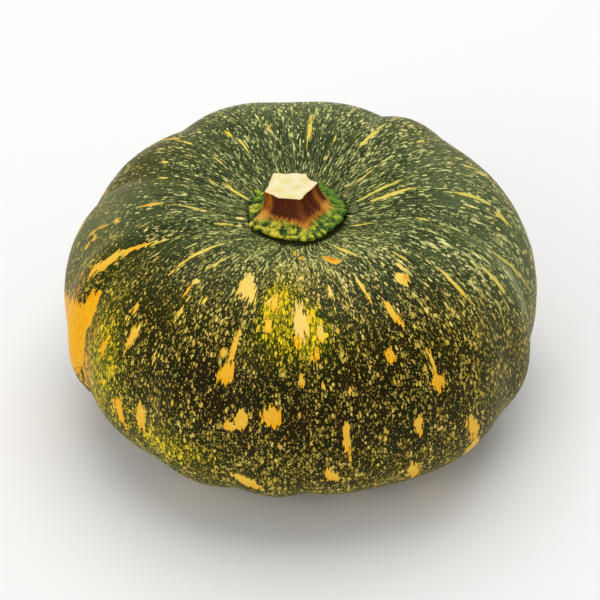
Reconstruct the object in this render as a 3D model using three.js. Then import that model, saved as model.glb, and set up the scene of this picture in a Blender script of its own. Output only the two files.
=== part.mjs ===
// A kabocha squash: one ribbed, flattened fruit with the cut stub of its stem.
// Millimetres, +Z up. The fruit stands on its blossom end with the stem on top, and the
// origin is on the ground, under the middle of the fruit's outline.
// An azimuth is in degrees round the fruit: 0 is +X, 90 is +Y and 270 is the front.
import * as THREE from "three";
import { mergeVertices } from "three/addons/utils/BufferGeometryUtils.js";

const { degToRad, euclideanModulo, lerp, smoothstep } = THREE.MathUtils;

// Size of the fruit, leaving out its ribs
const FRUIT_RADIUS = 105;
const EQUATOR_HEIGHT = 46;
const CREST_RADIUS = 53.6; // the highest ring of the crown
const CREST_HEIGHT = 105.4;
const FOOT_RADIUS = 32; // the lowest ring, round the blossom end
const FLANK_POWER = 2.28; // 2 would make the flanks elliptical, and more makes them squarer
const PRESSED_FLAT = 0.25; // how much of the foot is lost where the fruit rests

// The hollow in the crown, and the seat in it that the stem grows from
const RING_RADIUS = 22.4; // where the stem's flare meets the skin
const RING_HEIGHT = 96.3;
const CREASE_RADIUS = 18.2; // the skin's inner edge, under the flare
const CREASE_HEIGHT = 94.6;
const SEAT_RADIUS = 16.4;
const SEAT_HEIGHT = 93.2;
const CROWN_DRIFT = new THREE.Vector2(-1.9, 3.0); // from the fruit's axis to the stem's

// The blossom end: a shallow basin with a round corky scar in it
const BASIN_DEPTH = 4.6;
const SCAR_RADIUS = 7;
const SCAR_RELIEF = 1.1;

// Each furrow's azimuth, its depth, and how far the rib that follows it swells out
const FURROWS = [
  [44, 0.8, 1.4],
  [63, 2.0, -0.3],
  [94.5, 0.7, 1.5],
  [129, 2.4, -0.6],
  [164, 2.7, 0.6],
  [190, 0.8, 0.9],
  [204, 2.4, -0.6],
  [230, 2.0, 0.0],
  [252.5, 2.8, -1.2],
  [271, 3.8, -2.0],
  [297, 0.8, 1.1],
  [328, 1.7, 0.0],
  [347, 4.0, 0.4],
];
const FURROW_ROUNDING = 0.03; // 0 would make each furrow a sharp crease
const RIB_SHARE_AT_ENDS = 0.28; // how much of the ribs is left at the stem and the foot

// The stem's rows from its flare to its cut end: height above the skin's edge, and how much
// of the flare's outline is left there
const STEM_ROWS = [
  [1.8, 1.0],
  [3.2, 0.94],
  [4.4, 0.62],
  [6.4, 0.27],
  [9.2, 0.09],
  [12.6, 0.0],
  [15.3, 0.0],
];
const STEM_GAP = 0.3; // clearance between the stem and its seat
const STEM_NECK_HEIGHT = 1.7; // the straight foot of the stem, in its seat
const FLARE_DROOP = 0.4; // how steeply the flare's edge drops where it is narrow
const STEM_LEAN = new THREE.Vector2(-2.6, -1.5); // from the flare's middle to the cut end's

// Corners of the cut end and of the flare: azimuth and radius
const CUT_CORNERS = [
  [14, 11.8],
  [30, 9.2],
  [55, 11.4],
  [131, 12.5],
  [197, 12.0],
  [238, 9.8],
  [292, 10.1],
];
const FLARE_CORNERS = [
  [0, 21.8],
  [58, 21.6],
  [143, 21.8],
  [213, 25.2],
  [288, 23.0],
];
const FLARE_ROUNDNESS = 0.4; // 0 would leave the flare's sides straight
const SCALLOP_COUNT = 18;
const SCALLOP_RELIEF = 0.4;

// How finely the solids are divided
const FRUIT_SEGMENTS = 120;
const STEM_SEGMENTS = 90;
const FLANK_ANGLES = [0, 10, 20, 30, 40, 50, 60, 70, 79, 86, 90]; // from the equator
const CROWN_STEPS = 5;

// Where an azimuth falls in a ring of rows that start with an azimuth: the row before it,
// the row after it, and how far it is from one to the other, from 0 to 1.
function placeInRing(rows, azimuth) {
  const from = rows.findLastIndex((row) => row[0] <= azimuth);
  const before = rows.at(from);
  const after = rows[(from + 1) % rows.length];
  const width = euclideanModulo(after[0] - before[0], 360);
  return { before, after, share: euclideanModulo(azimuth - before[0], 360) / width };
}

// How far the ribs move the skin out at an azimuth: they swell between rounded furrows.
function ribRelief(azimuth) {
  const { before, after, share } = placeInRing(FURROWS, azimuth);
  const low = Math.sqrt(FURROW_ROUNDING);
  const high = Math.sqrt(1 + FURROW_ROUNDING);
  const arch = Math.sqrt(Math.sin(Math.PI * share) ** 2 + FURROW_ROUNDING);
  return lerp(-lerp(before[1], after[1], share), before[2], (arch - low) / (high - low));
}

// A quarter of the fruit's section: from the equator to its highest or lowest ring.
function flankPoint(ringRadius, rise, degrees) {
  const angle = degToRad(degrees);
  const out = Math.max(Math.cos(angle), 0) ** (2 / FLANK_POWER);
  const up = Math.sin(angle) ** (2 / FLANK_POWER);
  return new THREE.Vector2(lerp(ringRadius, FRUIT_RADIUS, out), EQUATOR_HEIGHT + rise * up);
}

// The crown's section between its crest and the skin's edge at the stem.
function crownPoint(share) {
  const fall = (smoothstep(share, 0, 1) + share ** 2) / 2;
  return new THREE.Vector2(
    lerp(CREST_RADIUS, RING_RADIUS, share),
    lerp(CREST_HEIGHT, RING_HEIGHT, fall),
  );
}

// The blossom end's section: the scar stands a little proud in the middle of its basin.
function blossomPoints() {
  return [
    [0, BASIN_DEPTH - SCAR_RELIEF / 2],
    [0.55 * SCAR_RADIUS, BASIN_DEPTH - SCAR_RELIEF],
    [SCAR_RADIUS, BASIN_DEPTH - SCAR_RELIEF / 2],
    [1.15 * SCAR_RADIUS, BASIN_DEPTH],
    [0.52 * FOOT_RADIUS, 0.6 * BASIN_DEPTH],
    [0.72 * FOOT_RADIUS, 0.24 * BASIN_DEPTH],
    [0.88 * FOOT_RADIUS, 0],
  ].map(([radius, height]) => new THREE.Vector2(radius, height));
}

// The fruit's half section, from the blossom scar out, up the flank and into the crown.
function fruitProfile() {
  const lowerFlank = FLANK_ANGLES.map((degrees) =>
    flankPoint(FOOT_RADIUS, -EQUATOR_HEIGHT - PRESSED_FLAT, degrees),
  );
  const upperFlank = FLANK_ANGLES.map((degrees) =>
    flankPoint(CREST_RADIUS, CREST_HEIGHT - EQUATOR_HEIGHT, degrees),
  );
  const crown = [];
  for (let i = 1; i <= CROWN_STEPS; i++) crown.push(crownPoint(i / CROWN_STEPS));
  return [
    ...blossomPoints(),
    ...lowerFlank.reverse(),
    ...upperFlank.slice(1),
    ...crown,
    new THREE.Vector2(CREASE_RADIUS, CREASE_HEIGHT),
    new THREE.Vector2(SEAT_RADIUS, SEAT_HEIGHT),
    new THREE.Vector2(0, SEAT_HEIGHT),
  ];
}

// The direction that a turned skin faces at each point of its half section.
function profileNormals(profile) {
  return profile.map((point, i) => {
    const before = profile[Math.max(i - 1, 0)];
    const after = profile[Math.min(i + 1, profile.length - 1)];
    const along = new THREE.Vector2().subVectors(after, before).normalize();
    return new THREE.Vector2(along.y, -along.x);
  });
}

// How strong the ribs are at each point of the section: full on the flank, faint towards
// both ends, and none on the scar and in the stem's seat.
function ribStrengths(profile) {
  const foot = blossomPoints().length;
  const ring = profile.findIndex((point) => point.y === RING_HEIGHT);
  return profile.map((point, i) => {
    if (i < foot) return RIB_SHARE_AT_ENDS * smoothstep(point.x, SCAR_RADIUS, FOOT_RADIUS);
    if (i > ring) return 0;
    const rise = Math.sin((Math.PI * (i - foot)) / (ring - foot));
    return lerp(RIB_SHARE_AT_ENDS, 1, Math.max(rise, 0) ** 0.8);
  });
}

// A body turned round +Z from a half section. shapeVertex moves each vertex, and is told its
// azimuth and its place in the section.
function turnedGeometry(profile, segments, shapeVertex) {
  const geometry = new THREE.LatheGeometry(profile, segments);
  geometry.rotateX(Math.PI / 2);
  geometry.deleteAttribute("normal");
  geometry.deleteAttribute("uv");
  const position = geometry.getAttribute("position");
  for (let i = 0; i < position.count; i++) {
    const row = i % profile.length;
    const turn = Math.floor(i / profile.length) % segments;
    const vertex = new THREE.Vector3();
    shapeVertex(vertex, (360 * turn) / segments, row);
    position.setXYZ(i, vertex.x, vertex.y, vertex.z);
  }
  return mergeVertices(geometry, 1e-3);
}

// The fruit: ribs swell its skin along the section's own normals, the crown drifts to the
// stem's side, and what would be under the ground is pressed flat.
function fruitGeometry() {
  const profile = fruitProfile();
  const normals = profileNormals(profile);
  const strengths = ribStrengths(profile);
  return turnedGeometry(profile, FRUIT_SEGMENTS, (vertex, azimuth, row) => {
    const relief = strengths[row] * ribRelief(azimuth);
    const radius = profile[row].x + normals[row].x * relief;
    const height = Math.max(profile[row].y + normals[row].y * relief, 0);
    const drift = height > EQUATOR_HEIGHT ? 1 - (radius / FRUIT_RADIUS) ** 2 : 0;
    const angle = degToRad(azimuth);
    vertex.set(
      radius * Math.cos(angle) + CROWN_DRIFT.x * drift,
      radius * Math.sin(angle) + CROWN_DRIFT.y * drift,
      height,
    );
  });
}

// The radius of a straight-sided outline at an azimuth.
function outlineRadius(corners, azimuth) {
  const { before, after } = placeInRing(corners, azimuth);
  const [start, end] = [before, after].map(([corner, radius]) => {
    const angle = degToRad(corner);
    return new THREE.Vector2(radius * Math.cos(angle), radius * Math.sin(angle));
  });
  const ray = new THREE.Vector2(Math.cos(degToRad(azimuth)), Math.sin(degToRad(azimuth)));
  return start.cross(end) / ray.cross(end.clone().sub(start));
}

// The flare's radius at an azimuth: five soft corners and a scalloped edge.
function flareRadius(azimuth) {
  const angular = outlineRadius(FLARE_CORNERS, azimuth);
  const scallop = SCALLOP_RELIEF * Math.cos(degToRad(SCALLOP_COUNT * azimuth));
  return lerp(angular, RING_RADIUS, FLARE_ROUNDNESS) + scallop;
}

// The stem: a round neck in its seat, a flare over the skin's edge, and an angular column
// that leans on its way up to the flat cut end.
function stemGeometry() {
  const base = SEAT_HEIGHT + STEM_GAP;
  const neckTop = base + STEM_NECK_HEIGHT;
  const neckRadius = SEAT_RADIUS - 2 * STEM_GAP;
  const column = STEM_ROWS.map(([rise]) => new THREE.Vector2(RING_RADIUS, RING_HEIGHT + rise));
  const top = column.at(-1).y;
  const neck = [
    new THREE.Vector2(0, base),
    new THREE.Vector2(neckRadius, base),
    new THREE.Vector2(neckRadius, neckTop),
  ];
  const profile = [...neck, ...column, new THREE.Vector2(0, top)];
  return turnedGeometry(profile, STEM_SEGMENTS, (vertex, azimuth, row) => {
    let radius = profile[row].x;
    let height = profile[row].y;
    const lean = smoothstep(height, neckTop, top);
    if (row >= neck.length && radius > 0) {
      const flare = STEM_ROWS[row - neck.length][1];
      radius = lerp(outlineRadius(CUT_CORNERS, azimuth), flareRadius(azimuth), flare);
      height -= FLARE_DROOP * flare * Math.max(RING_RADIUS - radius, 0);
    }
    const angle = degToRad(azimuth);
    vertex.set(
      radius * Math.cos(angle) + CROWN_DRIFT.x + STEM_LEAN.x * lean,
      radius * Math.sin(angle) + CROWN_DRIFT.y + STEM_LEAN.y * lean,
      height,
    );
  });
}

const rind = new THREE.MeshStandardMaterial({ color: 0x2e3a1c, roughness: 0.45, metalness: 0 });
const stalk = new THREE.MeshStandardMaterial({ color: 0x8a6a2c, roughness: 0.8, metalness: 0 });

const fruit = new THREE.Mesh(fruitGeometry(), rind);
fruit.name = "fruit";
const stem = new THREE.Mesh(stemGeometry(), stalk);
stem.name = "stem";

const outlineMiddle = new THREE.Box3().setFromObject(fruit).getCenter(new THREE.Vector3());
const grown = new THREE.Group();
grown.add(fruit, stem);
grown.position.set(-outlineMiddle.x, -outlineMiddle.y, 0);

const squash = new THREE.Group();
squash.add(grown);
export default squash;
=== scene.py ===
"""The looks of a kabocha squash: its skin, its cut stem and a plain pale studio.

Everything is in metres, +Z up, with the origin on the ground under the middle of the fruit's
outline. An azimuth is in degrees round the fruit: 0 is +X, 90 is +Y and 270 is the front. An arc
is the way along the skin from the edge of the stem's flare, outwards and down.
"""

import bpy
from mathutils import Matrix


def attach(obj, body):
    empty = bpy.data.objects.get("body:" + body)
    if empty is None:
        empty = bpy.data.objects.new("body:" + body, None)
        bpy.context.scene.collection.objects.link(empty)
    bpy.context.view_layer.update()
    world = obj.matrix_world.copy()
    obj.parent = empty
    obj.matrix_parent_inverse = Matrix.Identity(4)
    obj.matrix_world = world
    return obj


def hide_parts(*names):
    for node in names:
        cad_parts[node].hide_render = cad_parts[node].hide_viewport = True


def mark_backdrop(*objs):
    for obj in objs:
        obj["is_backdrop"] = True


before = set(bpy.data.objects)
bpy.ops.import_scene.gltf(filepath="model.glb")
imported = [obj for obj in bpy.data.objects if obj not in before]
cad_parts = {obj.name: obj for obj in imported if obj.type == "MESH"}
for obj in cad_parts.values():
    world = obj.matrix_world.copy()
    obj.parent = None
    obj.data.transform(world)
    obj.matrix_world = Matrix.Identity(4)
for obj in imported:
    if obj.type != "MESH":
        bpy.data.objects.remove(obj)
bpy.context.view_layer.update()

import itertools
import logging
import math
import random
from dataclasses import dataclass
from enum import Enum
from typing import ClassVar, Sequence

import bmesh
import bpy
import numpy as np
from mathutils import Vector

MM = 0.001
LOG = logging.getLogger("squash")

NOISE_DIRECTION = (12.9898, 78.233, 37.719)
NOISE_SCALE = 43758.5453
SEED_DIRECTION = np.array([1.0, 2.3, -1.7])
SECTION_STRIPS = 8
MERGE_DISTANCE = 0.001 * MM

Colour = tuple[float, float, float, float]


def paint(red: int, green: int, blue: int) -> Colour:
    """A display colour, from 0 to 255 a channel, as the linear colour that a shader takes."""
    channels = [c / 255 for c in (red, green, blue)]
    linear = [c / 12.92 if c <= 0.04045 else ((c + 0.055) / 1.055) ** 2.4 for c in channels]
    return (linear[0], linear[1], linear[2], 1.0)


def smooth_step(values: np.ndarray, low: float, high: float) -> np.ndarray:
    """A soft ramp from 0 at low to 1 at high.

    Args:
        values: the numbers to place on the ramp.
        low: where the ramp starts.
        high: where the ramp ends, which may be under low.

    Returns:
        The ramp's height at each value.
    """
    share = np.clip((values - low) / (high - low), 0, 1)
    return share * share * (3 - 2 * share)


def lerp(low: np.ndarray, high: np.ndarray, share: np.ndarray) -> np.ndarray:
    """The mix of low and high at a share of the way between them."""
    return low + (high - low) * share


def turn_to(start: np.ndarray, end: np.ndarray) -> np.ndarray:
    """The shorter turn from one azimuth to another, in degrees, with its sign."""
    return (end - start + 180) % 360 - 180


def about_axis(azimuth: np.ndarray, radius: np.ndarray, height: np.ndarray) -> np.ndarray:
    """One row of coordinates for each point, from its azimuth, radius and height."""
    angle = np.radians(azimuth)
    return np.column_stack([radius * np.cos(angle), radius * np.sin(angle), height])


def curve_through(values: Sequence[float], places: np.ndarray) -> np.ndarray:
    """A smooth curve through evenly spaced values.

    Args:
        values: the values at the places 0, 1, 2 and so on.
        places: where the curve is wanted.

    Returns:
        The curve's value at each place.
    """
    ends = np.concatenate([[values[0]], values, [values[-1]]])
    step = np.clip(places.astype(int), 0, len(values) - 2)
    share = places - step
    before, start, end, after = (ends[step + i] for i in range(4))
    slope = 0.5 * (end - before)
    next_slope = 0.5 * (after - start)
    rise = end - start
    square = 3 * rise - 2 * slope - next_slope
    cube = slope + next_slope - 2 * rise
    return start + share * (slope + share * (square + share * cube))


def swells(points: np.ndarray, size: float, seed: float) -> np.ndarray:
    """Smooth random values over points in space.

    Args:
        points: one row of coordinates for each point.
        size: the width of one swell.
        seed: moves the pattern, so that two of them differ.

    Returns:
        A value from about -1 to 1 for each point.
    """
    place = points / size + seed * SEED_DIRECTION
    cell = np.floor(place)
    share = place - cell
    share = share * share * (3 - 2 * share)
    total = np.zeros(len(points))
    for corner in itertools.product((False, True), repeat=3):
        knot = np.sin((cell + corner) @ NOISE_DIRECTION) * NOISE_SCALE
        weight = np.where(corner, share, 1 - share).prod(axis=1)
        total += weight * (2 * (knot - np.floor(knot)) - 1)
    return total


def ring_places(corners: np.ndarray, azimuth: np.ndarray) -> tuple[np.ndarray, np.ndarray, np.ndarray]:
    """Where azimuths fall in a ring of corners.

    Args:
        corners: the corners' azimuths, rising.
        azimuth: the azimuths to place.

    Returns:
        The corner before each azimuth, the corner after it, and the share of the way between.
    """
    before = np.searchsorted(corners, azimuth % 360, side="right") - 1
    after = (before + 1) % len(corners)
    width = (corners[after] - corners[before]) % 360
    return before % len(corners), after, (azimuth - corners[before]) % 360 / width


def outline_radius(corners: Sequence[tuple[float, float]], azimuth: np.ndarray) -> np.ndarray:
    """The radius of a straight-sided outline.

    Args:
        corners: the azimuth and radius of each corner.
        azimuth: where the radius is wanted.

    Returns:
        The outline's radius at each azimuth.
    """
    turns, radii = np.array(corners).T
    before, after, _ = ring_places(turns, azimuth)
    points = radii * np.exp(1j * np.radians(turns))
    side = points[after] - points[before]
    ray = np.exp(1j * np.radians(azimuth))
    return np.imag(np.conj(points[before]) * side) / np.imag(np.conj(ray) * side)


@dataclass(frozen=True)
class Furrow:
    """A furrow at an azimuth: its depth, and how far the rib after it swells out."""

    azimuth: float
    depth: float
    swell: float


FURROWS = (
    Furrow(44, 0.8 * MM, 1.4 * MM),
    Furrow(63, 2.0 * MM, -0.3 * MM),
    Furrow(94.5, 0.7 * MM, 1.5 * MM),
    Furrow(129, 2.4 * MM, -0.6 * MM),
    Furrow(164, 2.7 * MM, 0.6 * MM),
    Furrow(190, 0.8 * MM, 0.9 * MM),
    Furrow(204, 2.4 * MM, -0.6 * MM),
    Furrow(230, 2.0 * MM, 0.0 * MM),
    Furrow(252.5, 2.8 * MM, -1.2 * MM),
    Furrow(271, 3.8 * MM, -2.0 * MM),
    Furrow(297, 0.8 * MM, 1.1 * MM),
    Furrow(328, 1.7 * MM, 0.0 * MM),
    Furrow(347, 4.0 * MM, 0.4 * MM),
)


class Tone(Enum):
    """The colour of a mark, from bleached white to orange."""

    BLEACHED = -1.0
    CREAM = 0.0
    PALE = 0.22
    GOLD = 0.5
    AMBER = 0.75
    ORANGE = 1.0


@dataclass(frozen=True)
class Mark:
    """A streak or blotch on the skin.

    azimuth and arc give its middle and width its greatest width, with arc and length in mm and
    width in degrees. lean is how far its low end is turned from its top end, in degrees. skew
    widens its low end, or its top end where it is negative.
    """

    azimuth: float
    arc: float
    length: float
    width: float
    tone: Tone = Tone.GOLD
    lean: float = 0.0
    skew: float = 0.0

    NARROWEST_END: ClassVar[float] = 0.2
    LOW_END_WARMTH: ClassVar[float] = 0.1
    RADIUS_AT_RING: ClassVar[float] = 22
    RADIUS_PER_ARC: ClassVar[float] = 0.95
    GREATEST_RADIUS: ClassVar[float] = 105

    def reading(self, azimuth: np.ndarray, arc: np.ndarray) -> tuple[np.ndarray, np.ndarray]:
        """How points lie in the mark.

        Args:
            azimuth: each point's azimuth.
            arc: its arc.

        Returns:
            The depth, about 1 in a narrow mark's middle and more in a wide one's, 0 on its edge and
            less outside, and the tone, which warms towards the low end.
        """
        along = (arc / MM - self.arc) / (self.length / 2)
        middle = self.azimuth + self.lean * along / 2
        half_width = self.width / 2 * np.clip(1 + self.skew * along, self.NARROWEST_END, None)
        across = turn_to(middle, azimuth) / half_width
        fruit_radius = min(self.RADIUS_AT_RING + self.RADIUS_PER_ARC * self.arc, self.GREATEST_RADIUS)
        breadth = math.sqrt(math.radians(self.width / 2) * fruit_radius)
        depth = breadth * (1 - np.hypot(along, across))
        return depth, self.tone.value + self.LOW_END_WARMTH * np.clip(along, -1, 1)


@dataclass(frozen=True)
class Zone:
    """A soft patch of the skin: its middle, its half width in degrees and half length in mm."""

    azimuth: float
    arc: float
    half_width: float
    half_length: float
    strength: float = 1.0

    def level(self, azimuth: np.ndarray, arc: np.ndarray) -> np.ndarray:
        """The patch's strength at each point, which fades away from its middle."""
        along = (arc / MM - self.arc) / self.half_length
        across = turn_to(self.azimuth, azimuth) / self.half_width
        return self.strength * np.exp(-(along**2) - across**2)


def total_level(zones: Sequence[Zone], azimuth: np.ndarray, arc: np.ndarray) -> np.ndarray:
    """The strength of several patches together at each point."""
    return sum(zone.level(azimuth, arc) for zone in zones)


FRONT_MARKS = (
    Mark(267, 6, 7, 4.5, Tone.AMBER),
    Mark(301.5, 13.5, 27, 3, Tone.PALE, lean=1.5, skew=-0.2),
    Mark(338, 7, 14, 2, Tone.PALE, lean=4),
    Mark(249.8, 39, 19, 5.6, Tone.CREAM, lean=3.5, skew=0.75),
    Mark(261, 47, 9, 2.4, Tone.GOLD),
    Mark(258.8, 46, 5, 1.8, Tone.PALE),
    Mark(260.5, 57, 7, 2, Tone.GOLD),
    Mark(270.2, 54.5, 20, 4.8, Tone.CREAM, skew=-0.1),
    Mark(269.6, 61.5, 8, 2.4, Tone.AMBER),
    Mark(273, 52, 7, 2, Tone.GOLD),
    Mark(276, 60, 7, 2.4, Tone.PALE),
    Mark(281.5, 41.5, 12, 1.6, Tone.CREAM),
    Mark(294, 42, 12, 1.6, Tone.PALE),
    Mark(311.5, 41.5, 8, 1.7, Tone.CREAM),
    Mark(316, 35, 16, 1.2, Tone.PALE),
    Mark(251.4, 70, 20, 1.4, Tone.GOLD, lean=-0.8),
    Mark(249.6, 71.5, 4, 1.8, Tone.GOLD),
    Mark(251.1, 79.5, 11, 3.8, Tone.AMBER, skew=0.3),
    Mark(274, 69.5, 6, 1.3, Tone.AMBER),
    Mark(270, 80, 5, 1.4, Tone.GOLD),
    Mark(275.5, 82.5, 4.5, 1.4, Tone.GOLD),
    Mark(282, 85, 4, 1.6, Tone.GOLD),
    Mark(255.8, 99, 10, 4.2, Tone.GOLD, lean=-2),
    Mark(253.6, 103.5, 4, 4.5, Tone.GOLD),
    Mark(262.9, 95.3, 10, 4.8, Tone.AMBER),
    Mark(280.5, 108, 19, 1.8, Tone.GOLD),
    Mark(297.5, 108.5, 10, 2, Tone.GOLD),
    Mark(293.7, 74.6, 6, 1.7, Tone.AMBER),
    Mark(303.5, 83.5, 13, 1.8, Tone.GOLD),
    Mark(303.8, 91, 8, 3.4, Tone.AMBER),
    Mark(308, 47.2, 6.5, 5, Tone.PALE),
    Mark(299, 57, 12.5, 2.2, Tone.GOLD, lean=1.3, skew=0.3),
    Mark(322.8, 58, 20, 1.6, Tone.PALE),
    Mark(335.3, 72.5, 18, 1.7, Tone.PALE),
    Mark(348, 78, 36, 1.6, Tone.PALE, lean=6),
    Mark(348, 33.5, 9, 1.5, Tone.PALE),
    Mark(205, 43, 17, 1.4, Tone.PALE, lean=-3.5),
    Mark(202.5, 53, 12, 1.8, Tone.AMBER, lean=-1.8),
    Mark(200.3, 66.5, 27, 2.4, Tone.GOLD, lean=-4),
    Mark(222, 32.5, 36, 1.8, Tone.PALE, lean=-2.5),
    Mark(232.5, 31.5, 22, 1.3, Tone.PALE, lean=-5.5),
    Mark(187.3, 23.5, 22, 1.8, Tone.PALE, lean=-4.5),
    Mark(201.5, 13, 17, 2.2, Tone.PALE),
    Mark(183.5, 42, 9, 1.5, Tone.AMBER),
    Mark(185.5, 59, 5, 2, Tone.GOLD),
    Mark(184.3, 67, 7, 1.1, Tone.GOLD, lean=-1),
    Mark(187, 72, 5, 1.6, Tone.AMBER),
    Mark(184, 72.5, 6, 1.4, Tone.ORANGE),
    Mark(186.2, 77, 4, 1.6, Tone.AMBER),
    Mark(203.6, 91, 21, 4.8, Tone.ORANGE),
    Mark(200.5, 101, 20, 9.5, Tone.ORANGE),
    Mark(197.5, 112, 36, 14, Tone.ORANGE),
    Mark(189, 121.5, 35, 15, Tone.ORANGE),
    Mark(197, 121, 22, 8, Tone.ORANGE),
    Mark(214.5, 95.5, 10, 1.3, Tone.ORANGE),
    Mark(222.6, 82, 16, 2.2, Tone.GOLD, lean=-1.5),
    Mark(230.5, 84, 15, 1.2, Tone.PALE, lean=1.5),
    Mark(232.5, 65, 8, 1.2, Tone.PALE),
    Mark(219.5, 70.5, 8, 1.8, Tone.GOLD),
    Mark(231.3, 47.2, 3.4, 2.6, Tone.CREAM),
    Mark(230.6, 53, 6, 1.1, Tone.AMBER),
    Mark(238.4, 54, 4, 1.3, Tone.PALE),
    Mark(229.3, 117, 15, 3, Tone.GOLD),
    Mark(222.5, 121, 15, 3.4, Tone.AMBER, lean=2),
    Mark(257, 134, 9, 7, Tone.GOLD, lean=4),
    Mark(277, 127.5, 8, 2.6, Tone.GOLD, lean=1.5),
    Mark(297.2, 135, 15, 3.2, Tone.GOLD, lean=2),
    Mark(312.5, 121, 18, 3.2, Tone.GOLD, lean=4, skew=0.5),
    Mark(314.5, 137, 13, 4.4, Tone.GOLD),
    Mark(190.5, 2.6, 5, 5.5, Tone.BLEACHED),
    Mark(202, 4.6, 2.6, 3.6, Tone.BLEACHED),
)
BACK_MARKS = (
    Mark(7.7, 18, 24, 2.6, Tone.PALE),
    Mark(15.4, 15, 28, 2.4, Tone.PALE, lean=2.5),
    Mark(35.5, 12, 26, 1.7, Tone.PALE, lean=1.5),
    Mark(53.2, 31, 16, 2.4, Tone.PALE),
    Mark(54, 42, 12, 1.1, Tone.PALE),
    Mark(70, 27, 11, 1.6, Tone.PALE),
    Mark(71, 14, 5, 1.8, Tone.PALE),
    Mark(84.5, 29.5, 26, 2.6, Tone.GOLD),
    Mark(4.4, 54, 24, 1.8, Tone.PALE),
    Mark(22, 60, 11, 1.6, Tone.GOLD),
    Mark(39, 47.5, 6, 1.4, Tone.PALE),
    Mark(105, 29, 9, 1.5, Tone.GOLD),
    Mark(122.4, 24.5, 13, 1.6, Tone.PALE),
    Mark(123.9, 35, 9, 1.6, Tone.GOLD),
    Mark(141.7, 23, 12, 1.4, Tone.PALE),
    Mark(140, 44.5, 8, 1.4, Tone.PALE),
    Mark(155.6, 7, 18, 4.6, Tone.CREAM, lean=-3, skew=-0.4),
    Mark(158.5, 19, 12, 1.6, Tone.PALE),
    Mark(155, 44.5, 6, 1.4, Tone.PALE),
    Mark(164, 41, 5, 1.4, Tone.PALE),
    Mark(139, 55, 11, 1.6, Tone.GOLD),
)
SCABS = (
    Mark(289.4, 18.5, 13, 5, Tone.ORANGE, lean=5.5, skew=0.4),
    Mark(272, 10.5, 3, 5, Tone.ORANGE),
    Mark(309.2, 47.7, 3.2, 2.8, Tone.AMBER),
)
DARK_ZONES = (
    Zone(285, 92, 42, 34),
    Zone(243, 86, 14, 18, 0.8),
    Zone(258, 112, 22, 12, 0.5),
)
GLOW_ZONES = (
    Zone(261.5, 50, 4.5, 11),
    Zone(274, 57, 4.5, 9, 0.8),
    Zone(267, 42, 9, 14, 0.35),
    Zone(268, 66, 14, 12, 0.4),
    Zone(213, 104, 9, 28, 0.85),
    Zone(193, 70, 14, 22, 0.25),
    Zone(236, 124, 18, 14, 0.5),
    Zone(20, 14, 14, 14, 0.2),
)
FLUSH_ZONES = (
    Zone(199, 114, 11, 26, 0.8),
)
# Painted sheen: grey-green veils near the fruit's outline, where the skin turns away and would reflect the
# pale surroundings.
PAINTED_SHEEN_ZONES = (
    Zone(347, 80, 16, 26, 0.26),
    Zone(18, 50, 22, 16, 0.14),
    Zone(85, 50, 62, 14, 0.16),
    Zone(180, 68, 12, 24, 0.36),
)
# These shift where the crown's look reaches: its drawn-out flecks and its greyer green, which is partly
# painted sheen.
CROWN_ZONES = (
    Zone(352, 80, 30, 90, 58),
    Zone(85, 60, 60, 80, 26),
    Zone(192, 50, 14, 40, 10),
    Zone(268, 28, 20, 30, -20),
)
FRECKLE_ZONES = (
    Zone(268, 24, 24, 17, 0.4),
    Zone(350, 34, 24, 24, -0.16),
    Zone(155, 42, 34, 20, -0.2),
    Zone(202, 46, 14, 16, -0.12),
    Zone(315, 16, 24, 18, 0.16),
    Zone(265, 48, 8, 10, 0.1),
    Zone(251, 60, 8, 12, 0.26),
    Zone(315, 75, 12, 18, 0.16),
    Zone(100, 12, 80, 22, -0.12),
    Zone(335, 14, 14, 14, -0.1),
    Zone(200, 40, 26, 30, -0.06),
    Zone(244, 90, 12, 15, -0.14),
    Zone(275, 86, 16, 14, -0.1),
    Zone(270, 132, 60, 16, 0.12),
    Zone(335, 84, 16, 22, 0.18),
)


@dataclass(frozen=True)
class HiddenMarks:
    """Streaks for the skin that the front view doesn't show: the back's flank and the underside.

    Arcs and lengths are in mm, and widths and leans in degrees, as in a mark.
    """

    count: int = 60
    seed: int = 12
    highest_at_back: float = 66
    highest_at_front: float = 146
    lowest: float = 200
    lengths: tuple[float, float] = (6, 20)
    widths: tuple[float, float] = (1.6, 4.2)
    tones: tuple[Tone, ...] = (Tone.PALE, Tone.GOLD, Tone.GOLD, Tone.AMBER)
    leans: tuple[float, float] = (-3, 3)
    skews: tuple[float, float] = (-0.4, 0.5)

    def drawn(self) -> tuple[Mark, ...]:
        """The marks, like the seen ones in size and tone."""
        draw = random.Random(self.seed)
        marks = []
        for _ in range(self.count):
            azimuth = draw.uniform(0, 360)
            highest = self.highest_at_back if azimuth < 180 else self.highest_at_front
            arc = draw.uniform(highest, self.lowest)
            length = draw.uniform(*self.lengths)
            width = draw.uniform(*self.widths)
            tone = draw.choice(self.tones)
            lean = draw.uniform(*self.leans)
            skew = draw.uniform(*self.skews)
            marks.append(Mark(azimuth, arc, length, width, tone, lean, skew))
        return tuple(marks)


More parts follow.
